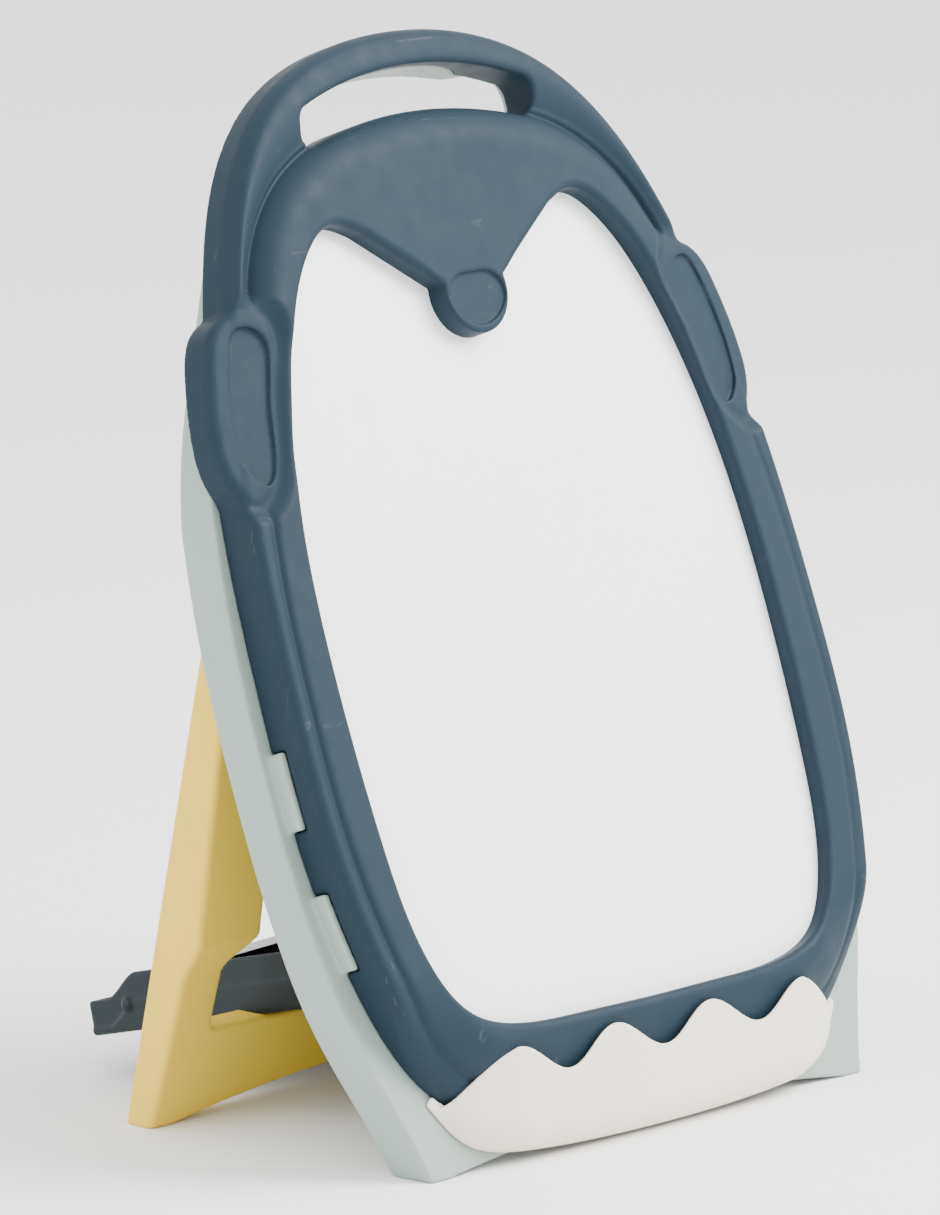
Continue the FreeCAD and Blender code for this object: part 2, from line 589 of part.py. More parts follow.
# ---- write every piece ----------------------------------------------------------------------
def main():
    os.makedirs("parts", exist_ok=True)
    save("front_frame", stand_up(front_frame()))
    save("rear_shell", rear_shell())
    save("drawing_sheet", stand_up(drawing_sheet()))
    save("backing_board", stand_up(backing_board()))
    save("pen_tray", stand_up(pen_tray()))
    save("frame_screws", stand_up(frame_screws()))
    save("tray_screws", stand_up(tray_screws()))
    save("leg_frame", leg_frame())
    save("spreader_shelf", spreader_shelf())
    save("shelf_plate", shelf_plate())
    leg_pin = hinge_pin(LEG_HINGE, LEG_EAR_INSIDES[0] - 2, LEG_EAR_INSIDES[1] + EAR_WIDTH)
    shelf_pin = hinge_pin(SHELF_HINGE, SHELF_EAR_INSIDE - 2, SHELF_HALF_WIDTH + 0.3)
    for name, pin in (("leg_hinge_pin", leg_pin), ("shelf_hinge_pin", shelf_pin)):
        save(name + "_right", pin)
        save(name + "_left", mirror_x(pin))
    save("leg_pin_washers", Part.makeCompound(both_sides(pin_washer(LEG_HINGE, LEG_EAR_INSIDES[0] - PIN_HEAD_LENGTH))))
    save("shelf_pin_washers", Part.makeCompound(both_sides(pin_washer(SHELF_HINGE, SHELF_EAR_INSIDE - PIN_HEAD_LENGTH))))


main()
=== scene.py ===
import math

import bpy
import numpy as np
import openvdb
from mathutils import Euler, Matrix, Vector


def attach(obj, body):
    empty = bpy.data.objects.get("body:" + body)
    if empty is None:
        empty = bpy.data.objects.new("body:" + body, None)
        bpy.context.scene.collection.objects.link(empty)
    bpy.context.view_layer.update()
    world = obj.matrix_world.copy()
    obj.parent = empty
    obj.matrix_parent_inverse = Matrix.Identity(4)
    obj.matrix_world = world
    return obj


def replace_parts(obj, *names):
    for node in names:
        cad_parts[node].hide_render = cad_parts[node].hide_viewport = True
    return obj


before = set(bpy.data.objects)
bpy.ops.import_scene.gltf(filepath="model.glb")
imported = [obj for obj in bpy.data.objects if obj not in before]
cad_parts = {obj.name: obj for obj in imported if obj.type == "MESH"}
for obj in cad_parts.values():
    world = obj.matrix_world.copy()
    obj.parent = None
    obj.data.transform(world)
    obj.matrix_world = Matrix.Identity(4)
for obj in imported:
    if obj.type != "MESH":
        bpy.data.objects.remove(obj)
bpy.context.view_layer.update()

# Folding penguin easel.  Shapes are worked out in millimetres and placed in metres.
#
# Board shapes use (across, depth, up): across the board, behind the frame's face, and up
# along the board.  Each moulded piece is a field, negative inside it, made of rounded
# unions and cuts, and meshed where the field is zero.
MM = 0.001

# ---- sizes shared with the frame's design -----------------------------------------------
LEAN = math.radians(20.2)
DEPTH_CENTRE = 152.02
FRAME_DEPTH = 24.0
BACK_DEPTH = 49.0
WEB_DEPTH = 33.0
NOSE_CENTRE = 412.0
NOSE_RADIUS = 21.0
NOTCH_HEIGHT = 5.0
LEG_HINGE = (303.4, 43.0)
SHELF_HINGE = (115.5, 42.0)
LEG_TILT = math.radians(12.27)
SHELF_SLOPE = math.radians(14.3)

# Half outlines, from the top centre down the right side to the bottom centre.
FRAME_HALF = [(0, 542), (50, 536.5), (94, 518), (124, 489), (144, 453), (159, 411), (171, 365),
              (179, 310), (182.5, 240), (181, 165), (174, 122), (160, 78), (138, 47), (100, 30),
              (50, 23), (0, 21)]
SHELL_HALF = [(0, 537), (50, 531), (92, 511), (118, 482), (138, 445), (156, 405), (172, 366),
              (183, 318), (189.5, 262), (191, 200), (188, 135), (180, 90), (166, 52), (153, 15),
              (141, -22), (108, -55), (0, -70)]
FACE_HALF = [(0, 503), (42, 500), (79, 491), (104, 478), (124, 459), (138, 435), (147, 408),
             (156, 372), (165, 330), (171, 290), (173.5, 240), (172, 165), (165, 124), (152, 84),
             (131, 56), (96, 40), (50, 33), (0, 31)]
RIM_HALF = [(64, 447), (83, 453), (104, 440), (124, 408), (139, 363), (149, 305), (152, 235),
            (149.5, 163), (141, 112), (122, 82), (92, 71.5), (50, 69.5), (0, 69)]
EAR_LOOP = [(137, 415), (153, 421), (168, 414), (177, 395), (183, 365), (181, 344), (168, 330),
            (156, 339), (148, 362), (141, 388)]
EAR_POCKET = [(143.5, 410), (155, 413), (163, 401), (168, 384), (171, 361), (168, 346),
              (159.5, 339), (151.5, 352), (146, 380)]
NOSE_POCKET = [(0, 420.5), (13, 419), (19, 411), (13, 400), (0, 395), (-13, 400), (-19, 411),
               (-13, 419)]
HAND_HALF_WIDTH = 79.0
HAND_CORNERS = (493.0, 511.0)
HAND_CROWNS = (503.0, 523.5)
HAND_ROUND = 7.0
HAND_MIDDLE = (502.0, 512.0)
HOLE_GAP = 0.5
SIDE_TABS = [(113, 150), (181, 218)]
FOOT_FLAT_FROM = 140.0
SHELL_ARCH = 9.0
PIN_BORE = 3.05            # radius of the bores for the hinge pins


# ---- curves -------------------------------------------------------------------------------
def mirrored(half):
    """Closed loop from a half outline that starts and ends on the centre line."""
    return half + [(-across, up) for across, up in reversed(half[1:-1])]


def smooth_curve(points, closed=False, step=3.0):
    """Points along the cubic spline through the given points, about a step apart."""
    points = np.array(points, float)
    if closed:
        points = np.vstack([points, points[:1]])
    gaps = np.linalg.norm(np.diff(points, axis=0), axis=1)
    slopes = np.diff(points, axis=0) / gaps[:, None]
    count = len(gaps)
    size = count if closed else count + 1
    matrix = np.zeros((size, size))
    right = np.zeros((size, points.shape[1]))
    for row in range(size):
        if not closed and row in (0, size - 1):
            matrix[row, row] = 1
            continue
        before, after = gaps[row - 1], gaps[row % count]
        matrix[row, (row - 1) % size] += before
        matrix[row, row] += 2 * (before + after)
        matrix[row, (row + 1) % size] += after
        right[row] = 6 * (slopes[row % count] - slopes[row - 1])
    bends = np.linalg.solve(matrix, right)
    if closed:
        bends = np.vstack([bends, bends[:1]])
    pieces = []
    for index in range(count):
        parts = max(2, math.ceil(gaps[index] / step))
        far = np.linspace(0, 1, parts, endpoint=False)[:, None]
        near = 1 - far
        bend = (near**3 - near) * bends[index] + (far**3 - far) * bends[index + 1]
        pieces.append(near * points[index] + far * points[index + 1] + gaps[index] ** 2 / 6 * bend)
    if not closed:
        pieces.append(points[-1:])
    return np.vstack(pieces)


def arc_through(first, middle, last, step=3.0):
    """Points on the circle arc from first to last by way of middle, without the last one."""
    (ax, ay), (bx, by), (cx, cy) = first, middle, last
    double = 2 * (ax * (by - cy) + bx * (cy - ay) + cx * (ay - by))
    squares = [ax * ax + ay * ay, bx * bx + by * by, cx * cx + cy * cy]
    across = squares[0] * (by - cy) + squares[1] * (cy - ay) + squares[2] * (ay - by)
    up = squares[0] * (cx - bx) + squares[1] * (ax - cx) + squares[2] * (bx - ax)
    centre = Vector((across / double, up / double))
    angles = [math.atan2(y - centre.y, x - centre.x) for x, y in (first, middle, last)]
    turn = (angles[2] - angles[0]) % math.tau
    if (angles[1] - angles[0]) % math.tau > turn:
        turn -= math.tau
    radius = (Vector(first) - centre).length
    parts = max(4, math.ceil(abs(turn) * radius / step))
    steps = angles[0] + turn * np.arange(parts) / parts
    return np.stack([centre.x + radius * np.cos(steps), centre.y + radius * np.sin(steps)], 1)


def rim_loop():
    """Edge of the drawing area: down the sides, and up round the visor and the nose."""
    side = RIM_HALF + [(-across, up) for across, up in reversed(RIM_HALF[:-1])]
    rise = math.asin(NOTCH_HEIGHT / NOSE_RADIUS)
    notch = (NOSE_RADIUS * math.cos(rise), NOSE_CENTRE + NOTCH_HEIGHT)
    nose = arc_through((-notch[0], notch[1]), (0, NOSE_CENTRE - NOSE_RADIUS), notch, 1.5)
    return np.vstack([smooth_curve(side), nose, [notch]])


def hand_loop():
    """Middle of the hole under the handle: its edge is HAND_ROUND further out."""
    low, high = HAND_CORNERS[0] + HAND_ROUND, HAND_CORNERS[1] - HAND_ROUND
    end = HAND_HALF_WIDTH - HAND_ROUND
    bottom = arc_through((-end, low), (0, HAND_CROWNS[0] + HAND_ROUND), (end, low))
    top = arc_through((end, high), (0, HAND_CROWNS[1] - HAND_ROUND), (-end, high))
    return np.vstack([bottom, [(end, low)], top, [(-end, high)]])


# ---- fields -------------------------------------------------------------------------------
class Grid:
    """Evenly spaced points over a box, with axes that broadcast against each other."""

    def __init__(self, low, high, voxel):
        self.low = np.array(low, float)
        self.voxel = voxel
        counts = [math.ceil((top - bottom) / voxel) + 1 for bottom, top in zip(low, high)]
        axes = [bottom + voxel * np.arange(count) for bottom, count in zip(low, counts)]
        self.across = axes[0][:, None, None].astype(np.float32)
        self.depth = axes[1][None, :, None].astype(np.float32)
        self.up = axes[2][None, None, :].astype(np.float32)

    def distance(self, loop):
        """Signed distance to a closed loop in the (across, up) plane, negative inside it."""
        across, up = self.across, self.up
        nearest = np.full((across.shape[0], 1, up.shape[2]), 1e9, np.float32)
        inside = np.zeros(nearest.shape, bool)
        ends = np.roll(loop, -1, axis=0)
        for (ax, ay), (bx, by) in zip(loop, ends):
            dx, dy = bx - ax, by - ay
            along = ((across - ax) * dx + (up - ay) * dy) / max(dx * dx + dy * dy, 1e-9)
            along = np.clip(along, 0, 1)
            gap = (across - ax - along * dx) ** 2 + (up - ay - along * dy) ** 2
            np.minimum(nearest, gap, out=nearest)
            if dy != 0:
                crosses = (up >= min(ay, by)) & (up < max(ay, by))
                inside ^= crosses & (across < ax + (up - ay) * dx / dy)
        return np.where(inside, -1, 1) * np.sqrt(nearest)


def both(first, second, radius=0.0):
    """Where both solids are, with their meeting edge rounded."""
    if np.isscalar(radius) and radius == 0:
        return np.maximum(first, second)
    reach = np.sqrt(np.maximum(first + radius, 0) ** 2 + np.maximum(second + radius, 0) ** 2)
    return np.minimum(np.maximum(first, second), -radius) + reach


def either(first, second, radius=0.0):
    """Where either solid is, with a fillet between them."""
    return -both(-first, -second, radius)


def without(solid, tool, radius=0.0):
    return both(solid, -tool, radius)


def ease(value, low, high):
    """0 below low, 1 above high, and smooth between."""
    share = np.clip((value - low) / (high - low), 0, 1)
    return share * share * (3 - 2 * share)


# ---- meshes -------------------------------------------------------------------------------
def board_place(points):
    across, depth, up = points.T
    y = up * math.sin(LEAN) + depth * math.cos(LEAN) - DEPTH_CENTRE
    z = up * math.cos(LEAN) - depth * math.sin(LEAN)
    return np.stack([across, y, z], 1)


def swung_place(hinge, forward, upward):
    """Placing of a shape made about a hinge line, given its two side-view directions."""
    centre = board_place(np.array([[0.0, hinge[1], hinge[0]]]))[0]

    def place(points):
        across, along, over = points.T
        y = centre[1] + along * forward[0] + over * upward[0]
        z = centre[2] + along * forward[1] + over * upward[1]
        return np.stack([across, y, z], 1)
    return place


def new_piece(name, points, faces, body, material):
    """Mesh object from points in millimetres, riding on a body."""
    mesh = bpy.data.meshes.new(name)
    mesh.from_pydata((np.asarray(points) * MM).tolist(), [], faces)
    mesh.validate()
    mesh.shade_smooth()
    mesh.materials.append(material)
    piece = bpy.data.objects.new(name, mesh)
    bpy.context.scene.collection.objects.link(piece)
    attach(piece, body)
    return piece


def moulded(name, grid, field, place, body, material):
    """Closed mesh where the field is zero."""
    reach = 3 * grid.voxel
    volume = openvdb.FloatGrid(reach)
    volume.copyFromArray(np.ascontiguousarray(np.clip(field, -reach, reach), np.float32))
    points, triangles, quads = volume.convertToPolygons(isovalue=0.0, adaptivity=0.0)
    points = place(grid.low + points.astype(float) * grid.voxel)
    faces = [face[::-1] for face in quads.tolist()] + [face[::-1] for face in triangles.tolist()]
    return new_piece(name, points, faces, body, material)


# ---- materials ----------------------------------------------------------------------------
def plastic(name, colour, roughness, grain=0.00006, variation=0.05, scuffs=0.0, coat=0.0,
            shine=0.5):
    """Moulded plastic: fine grain, faint cloudiness in colour and gloss, and a few scuffs."""
    material = bpy.data.materials.new(name)
    material.use_nodes = True
    nodes, links = material.node_tree.nodes, material.node_tree.links
    shader = nodes["Principled BSDF"]
    shader.inputs["Specular IOR Level"].default_value = shine
    shader.inputs["Coat Weight"].default_value = coat
    shader.inputs["Coat Roughness"].default_value = 0.18
    place = nodes.new("ShaderNodeTexCoord")

    cloud = nodes.new("ShaderNodeTexNoise")
    cloud.inputs["Scale"].default_value = 14
    cloud.inputs["Detail"].default_value = 5
    links.new(place.outputs["Object"], cloud.inputs["Vector"])
    tint = nodes.new("ShaderNodeValToRGB")
    tint.color_ramp.elements[0].position = 0.3
    tint.color_ramp.elements[1].position = 0.7
    tint.color_ramp.elements[0].color = [c * (1 - variation) for c in colour] + [1]
    tint.color_ramp.elements[1].color = [min(1, c * (1 + variation)) for c in colour] + [1]
    links.new(cloud.outputs["Fac"], tint.inputs["Fac"])

    gloss = nodes.new("ShaderNodeTexNoise")
    gloss.inputs["Scale"].default_value = 90
    gloss.inputs["Detail"].default_value = 6
    links.new(place.outputs["Object"], gloss.inputs["Vector"])
    rough = nodes.new("ShaderNodeMapRange")
    rough.inputs["From Min"].default_value = 0.3
    rough.inputs["From Max"].default_value = 0.7
    rough.inputs["To Min"].default_value = roughness - 0.05
    rough.inputs["To Max"].default_value = roughness + 0.06
    links.new(gloss.outputs["Fac"], rough.inputs["Value"])
    links.new(rough.outputs["Result"], shader.inputs["Roughness"])

    scratch = nodes.new("ShaderNodeTexNoise")
    scratch.inputs["Scale"].default_value = 34
    scratch.inputs["Detail"].default_value = 3
    scratch.inputs["Distortion"].default_value = 1.6
    stretch = nodes.new("ShaderNodeMapping")
    stretch.inputs["Rotation"].default_value = (0.4, 0.7, 0.9)
    stretch.inputs["Scale"].default_value = (1, 7, 1)
    links.new(place.outputs["Object"], stretch.inputs["Vector"])
    links.new(stretch.outputs["Vector"], scratch.inputs["Vector"])
    marks = nodes.new("ShaderNodeMapRange")
    marks.inputs["From Min"].default_value = 0.70
    marks.inputs["From Max"].default_value = 0.78
    marks.inputs["To Max"].default_value = scuffs
    links.new(scratch.outputs["Fac"], marks.inputs["Value"])
    worn = nodes.new("ShaderNodeMix")
    worn.data_type = "RGBA"
    worn.inputs["B"].default_value = [min(1, 0.35 + 0.65 * c) for c in colour] + [1]
    links.new(marks.outputs["Result"], worn.inputs["Factor"])
    links.new(tint.outputs["Color"], worn.inputs["A"])
    links.new(worn.outputs["Result"], shader.inputs["Base Color"])

    texture = nodes.new("ShaderNodeTexNoise")
    texture.inputs["Scale"].default_value = 1500
    texture.inputs["Detail"].default_value = 2
    links.new(place.outputs["Object"], texture.inputs["Vector"])
    bump = nodes.new("ShaderNodeBump")
    bump.inputs["Strength"].default_value = 0.5
    bump.inputs["Distance"].default_value = grain
    links.new(texture.outputs["Fac"], bump.inputs["Height"])
    links.new(bump.outputs["Normal"], shader.inputs["Normal"])
    return material


def metal(name, colour, roughness):
    """Plated steel with fine drawn lines."""
    material = bpy.data.materials.new(name)
    material.use_nodes = True
    nodes, links = material.node_tree.nodes, material.node_tree.links
    shader = nodes["Principled BSDF"]
    shader.inputs["Metallic"].default_value = 1
    place = nodes.new("ShaderNodeTexCoord")
    stretch = nodes.new("ShaderNodeMapping")
    stretch.inputs["Scale"].default_value = (60, 900, 900)
    grain = nodes.new("ShaderNodeTexNoise")
    grain.inputs["Scale"].default_value = 1
    links.new(place.outputs["Object"], stretch.inputs["Vector"])
    links.new(stretch.outputs["Vector"], grain.inputs["Vector"])
    rough = nodes.new("ShaderNodeMapRange")
    rough.inputs["To Min"].default_value = roughness - 0.08
    rough.inputs["To Max"].default_value = roughness + 0.08
    links.new(grain.outputs["Fac"], rough.inputs["Value"])
    links.new(rough.outputs["Result"], shader.inputs["Roughness"])
    tint = nodes.new("ShaderNodeValToRGB")
    tint.color_ramp.elements[0].color = [c * 0.85 for c in colour] + [1]
    tint.color_ramp.elements[1].color = list(colour) + [1]
    links.new(grain.outputs["Fac"], tint.inputs["Fac"])
    links.new(tint.outputs["Color"], shader.inputs["Base Color"])
    return material


NAVY = plastic("navy_plastic", (0.0095, 0.0215, 0.0325), 0.55, variation=0.03, scuffs=0.08,
               shine=0.14)
SAGE = plastic("sage_plastic", (0.27, 0.335, 0.30), 0.48, variation=0.03, shine=0.35)
CREAM = plastic("cream_plastic", (0.77, 0.70, 0.59), 0.46, variation=0.02, shine=0.35)
YELLOW = plastic("yellow_plastic", (0.76, 0.53, 0.065), 0.55, variation=0.03, shine=0.05)
SHELF_NAVY = plastic("dark_navy_plastic", (0.006, 0.014, 0.018), 0.42, scuffs=0.06, shine=0.25)
PLATE_GREY = plastic("grey_plastic", (0.50, 0.51, 0.54), 0.35, variation=0.02)
BOARD_WHITE = plastic("white_coating", (0.93, 0.94, 0.96), 0.20, grain=0.00001, variation=0.008,
                      coat=0.5)
HARDBOARD = plastic("hardboard", (0.30, 0.19, 0.10), 0.7, grain=0.0002, variation=0.2)
PLATED = metal("plated_steel", (0.62, 0.62, 0.62), 0.3)
CAD_MATERIALS = {
    "drawing_sheet": BOARD_WHITE, "backing_board": HARDBOARD, "shelf_plate": PLATE_GREY,
    "frame_screws": PLATED, "tray_screws": PLATED, "leg_pin_washers": PLATED,
    "shelf_pin_washers": PLATED, "leg_hinge_pin_left": PLATED, "leg_hinge_pin_right": PLATED,
    "shelf_hinge_pin_left": PLATED, "shelf_hinge_pin_right": PLATED,
}


def dress_cad_nodes():
    """Give the nodes that keep their shape their finished materials."""
    for name, material in CAD_MATERIALS.items():
        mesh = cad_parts[name].data
        mesh.materials.clear()
        mesh.materials.append(material)


# ---- front frame --------------------------------------------------------------------------
EDGE_ROUND = 5.0
EAR_TOP = 1.8              # depth of the ears' inner edge
EAR_TILT = 0.12            # how fast they fall back outwards
PLATEAU = 3.8              # how far the head stands proud of the frame's face
CREASE_DEPTH = 7.0
BAND_RIDGE = 0.36          # where the band's ridge lies between its edge and the crease
POCKET_DEPTH = 1.8
SLOPE_TOP = 64.0
SLOPE_RATE = 14.0 / 43.0
CORNER_REACH = 32.0
HANDLE_SPLIT = 11.0        # depth where the navy cap meets the sage sleeve in the hand hole
SLEEVE_REACH = 52.0        # half width of the sage sleeve inside the hand hole
SLEEVE = 3.0
SLEEVE_ROOM = 3.4
SLEEVE_BACK = 30.0
BAND_TOP = 1.2             # depth of the band's ridge
BAND_FALL = 5.0            # how far the band falls from its ridge to the outer edge
BAND_SPAN = (385, 440)     # heights over which the band sets in
HEAD_SPAN = (300, 430)     # heights over which the face climbs to the plateau
LOW_LEVEL = 0.9            # depth of the outer edge below the ears
LOW_CROWN = -0.4           # depth of the domed face below the ears
RISE_WIDTH = 7.0           # how far from its edge the face reaches full height
RISE_WIDER = 15.0          # the same, added on the head
BEAD = (0.7, 2.2, 1.1)     # height, middle and width of the bead beside the crease
GROOVE = (1.0, -0.5, 1.7)  # depth, middle and width of the groove below the ears
CORNER_FALL = 18.0
CORNER_ACROSS = (70, 115)
CORNER_UP = (46, 105)
RIM_ROUND = 1.6
RIM_ROUND_EXTRA = 1.8     # added away from the nose
NOSE_SPAN = (22, 40)
EAR_BLEND = 10.0


def steepened(height, grid):
    """Turn depth below a height map into distance, by its slope."""
    slopes = np.gradient(height[:, 0, :], grid.voxel)
    steepness = np.sqrt(1 + slopes[0] ** 2 + slopes[1] ** 2)[:, None, :]
    return (height - grid.depth) / np.minimum(steepness, 3.0)


def front_depth(grid, outline, face):
    """Depth of the frame's front surface at each point across and up."""
    up = grid.up
    head = ease(up, *HEAD_SPAN)
    band = ease(up, *BAND_SPAN)

    # The band over the head: a soft ridge that falls outwards, and inwards to the crease.
    to_edge = np.maximum(-outline, 0)
    to_face = np.maximum(face, 0)
    share = to_edge / np.maximum(to_edge + to_face, 0.1)
    outward = np.maximum(BAND_RIDGE - share, 0) / BAND_RIDGE
    inward = np.maximum(share - BAND_RIDGE, 0) / (1 - BAND_RIDGE)
    bead = BEAD[0] * np.exp(-(((to_face - BEAD[1]) / BEAD[2]) ** 2))
    band_top = BAND_TOP + BAND_FALL * outward**2 + (CREASE_DEPTH - BAND_TOP) * inward**1.6 - bead
    outer = LOW_LEVEL * (1 - band) + band_top * band

    # The face: it climbs steeply from the crease to the plateau, and is gently domed below.
    inside = np.maximum(-face, 0)
    rise_width = RISE_WIDTH + RISE_WIDER * band
    rise = 1 - (1 - np.clip(inside / rise_width, 0, 1)) ** 2.6
    edge_level = LOW_LEVEL * (1 - band) + CREASE_DEPTH * band
    inner = edge_level + (LOW_CROWN - PLATEAU * head - edge_level) * rise
    top = np.where(face > 0, outer, inner)
    groove = GROOVE[0] * (1 - band) * np.exp(-(((face - GROOVE[1]) / GROOVE[2]) ** 2))

    # The lower face falls back behind the tray, most of all at its corners.
    level_fall = SLOPE_RATE * np.maximum(SLOPE_TOP - up, 0)
    near_edge = np.clip(1 + outline / CORNER_REACH, 0, 1)
    corner = ease(np.abs(grid.across), *CORNER_ACROSS) * (1 - ease(up, *CORNER_UP))
    return top + groove + np.maximum(level_fall, CORNER_FALL * corner * near_edge**1.2)


def front_frame():
    voxel = 0.95
    grid = Grid((-188, -10, 8), (188, 28, 547), voxel)
    outline = grid.distance(smooth_curve(mirrored(FRAME_HALF), True))
    face = grid.distance(smooth_curve(mirrored(FACE_HALF), True))
    rim = grid.distance(rim_loop())
    hand = grid.distance(hand_loop()) - HAND_ROUND - HOLE_GAP
    nose_pocket = grid.distance(smooth_curve(NOSE_POCKET, True))
    ear_points = smooth_curve(EAR_LOOP, True)
    pocket_points = smooth_curve(EAR_POCKET, True)
    flip = np.array([-1, 1])
    ears = np.minimum(grid.distance(ear_points), grid.distance(ear_points * flip))
    pockets = np.minimum(grid.distance(pocket_points), grid.distance(pocket_points * flip))

    depth = grid.depth
    ear_top = EAR_TOP + EAR_TILT * np.maximum(np.abs(grid.across) - EAR_LOOP[0][0], 0)
    near_ear = 1 - ease(ears, 0, EAR_BLEND)
    front = front_depth(grid, outline, face) * (1 - near_ear) + ear_top * near_ear
    body = both(outline, steepened(front, grid), EDGE_ROUND)
    ear = both(ears, ear_top - depth, 5.0)
    solid = either(body, ear, 2.5)
    solid = both(solid, depth - FRAME_DEPTH, 0.8)
    to_nose = np.sqrt(grid.across**2 + (grid.up - NOSE_CENTRE) ** 2)
    rim_round = RIM_ROUND + RIM_ROUND_EXTRA * ease(to_nose, *NOSE_SPAN)
    solid = without(solid, rim + 0 * depth, rim_round)
    solid = without(solid, hand + 0 * depth, 2.5)
    solid = without(solid, handle_sleeve(grid, hand, SLEEVE_ROOM, 0.0), 0.4)
    ear_floor = depth - ear_top - POCKET_DEPTH
    solid = without(solid, both(pockets, ear_floor, 0.5), 0.3)
    nose_floor = depth + PLATEAU - POCKET_DEPTH
    solid = without(solid, both(nose_pocket, nose_floor, 0.5), 0.3)
    solid = without(solid, tab_field(grid, outline, 0.6), 0.5)
    return moulded("front_frame_moulding", grid, solid, board_place, "board", NAVY)


def handle_sleeve(grid, hand, thickness, gap):
    """Wall over the upper edge of the hand hole, from the split back to inside the shell."""
    share = np.clip(grid.across / HAND_HALF_WIDTH, -1, 1)
    middle = HAND_MIDDLE[0] + (HAND_MIDDLE[1] - HAND_MIDDLE[0]) * (1 - share**2)
    wall = np.maximum(hand - thickness, middle - grid.up)
    wall = np.maximum(wall, np.abs(grid.across) - SLEEVE_REACH)
    split = HANDLE_SPLIT + (FRAME_DEPTH - HANDLE_SPLIT) * (grid.across / SLEEVE_REACH) ** 4
    return both(wall, split + gap - grid.depth, 0.4)


TAB_MIDDLE = 0.4           # the tabs' middle line, outside the frame's outline
TAB_HALF = 1.9
TAB_FRONT = 15.5


def tab_field(grid, outline, gap):
    """The side tabs that lap over the frame's side wall."""
    band = both(np.abs(outline - TAB_MIDDLE) - TAB_HALF - gap, grid.depth - FRAME_DEPTH - 2)
    band = both(band, TAB_FRONT - gap - grid.depth, 0.5)
    tabs = None
    for low, high in SIDE_TABS:
        span = np.abs(grid.up - (low + high) / 2) - (high - low) / 2 - gap
        tab = both(band, span, 1.2)
        tabs = tab if tabs is None else np.minimum(tabs, tab)
    return both(tabs, FOOT_FLAT_FROM - np.abs(grid.across))


# ---- rear shell ---------------------------------------------------------------------------
def ground_field(grid, flat_from, arch):
    """What lies above the ground and over the low arch between the feet."""
    height = grid.up * math.cos(LEAN) - grid.depth * math.sin(LEAN)
    radius = (flat_from**2 + arch**2) / (2 * arch)
    under = np.sqrt(np.maximum(radius**2 - grid.across**2, 0)) - radius + arch
    return np.maximum(under, 0) - height


THIN_FROM = 330.0          # the shell's back slopes to the web behind the head
THIN_TO = 470.0
SEAM_GAP = 0.3
SHELL_RIM = 6.0
RECESS_FROM = 30.0
HOLE_WIDENING = 8.0        # how far the shell's hand hole ends past the frame's
HOLE_ENDS = (45, 84)


def rear_shell():
    voxel = 1.2
    grid = Grid((-196, 9, -2), (196, 53, 542), voxel)
    depth = grid.depth
    outline = grid.distance(smooth_curve(mirrored(SHELL_HALF), True))
    frame_outline = grid.distance(smooth_curve(mirrored(FRAME_HALF), True))
    hand = grid.distance(hand_loop()) - HAND_ROUND - HOLE_GAP
    back = np.interp(grid.up, (THIN_FROM, THIN_TO), (BACK_DEPTH, WEB_DEPTH))
    solid = both(outline, FRAME_DEPTH + SEAM_GAP - depth, 1.5)
    solid = both(solid, depth - back, 5.0)
    recess = both(outline + SHELL_RIM, WEB_DEPTH - depth, 1.5)
    recess = both(recess, RECESS_FROM - grid.up, 2.0)
    recess = without(recess, hand - SLEEVE, 2.0)
    solid = without(solid, recess, 1.5)
    solid = either(solid, tab_field(grid, frame_outline, 0.0), 0.6)
    sleeve = both(handle_sleeve(grid, hand, SLEEVE, SEAM_GAP), depth - SLEEVE_BACK)
    solid = np.minimum(solid, sleeve)
    widening = HOLE_WIDENING * ease(np.abs(grid.across), *HOLE_ENDS)
    solid = without(solid, hand - widening + 0 * depth, 1.2)
    for along, centre, insides in ((LEG_HINGE[0], LEG_HINGE[1], (121.0, 158.5)),
                                   (SHELF_HINGE[0], SHELF_HINGE[1], (92.0,))):
        for inside in insides:
            solid = either(solid, ear_field(grid, along, centre, inside), 1.2)
    solid = both(solid, ground_field(grid, FOOT_FLAT_FROM, SHELL_ARCH), 1.2)
    return moulded("rear_shell_moulding", grid, solid, board_place, "board", SAGE)


def ear_field(grid, along, centre, inside, width=4.5, radius=6.3, bore=PIN_BORE):
    """Pair of hinge ears that stand on the web."""
    reach = np.sqrt((grid.up - along) ** 2 + (grid.depth - centre) ** 2)
    root = both(np.abs(grid.up - along) - radius, grid.depth - centre)
    profile = np.maximum(np.minimum(reach - radius, root), WEB_DEPTH - 2 - grid.depth)
    profile = np.maximum(profile, bore - reach)
    slab = np.abs(np.abs(grid.across) - inside - width / 2) - width / 2
    return both(profile, slab, 0.5)


# ---- pen tray -----------------------------------------------------------------------------
TRAY_LOWER = [(-150, 42), (-139, 29), (-118, 18.5), (-80, 12.5), (-40, 10.5), (0, 10), (40, 10.5),
              (80, 12.5), (118, 18.5), (139, 29), (150, 42)]
TRAY_SHEET = 2.0
TRAY_LEAN = 0.2            # how much its front wall leans out
TOOTH_PITCH = 66.6
TOOTH_MIDDLE = 53.0
TOOTH_SWING = 7.5
TRAY_END_EDGE = [(100, 60.5), (108, 58), (118, 53), (126, 48), (133, 43.5), (141, 41.5), (152, 41)]
TRAY_END_FRONT = [(0, -2.5), (88, -2.5), (100, -1.8), (111, 2.0), (125, 8.5), (132, 13),
                  (140, 17.5), (152, 20)]
TRAY_CORNER = 13.0         # radius where its floor turns up into the front
TRAY_BACK_EDGE = 41.0
TRAY_BACK_RISE = 7.0       # how much higher its back wall is, except at the ends
TRAY_BACK_ENDS = (139, 149)
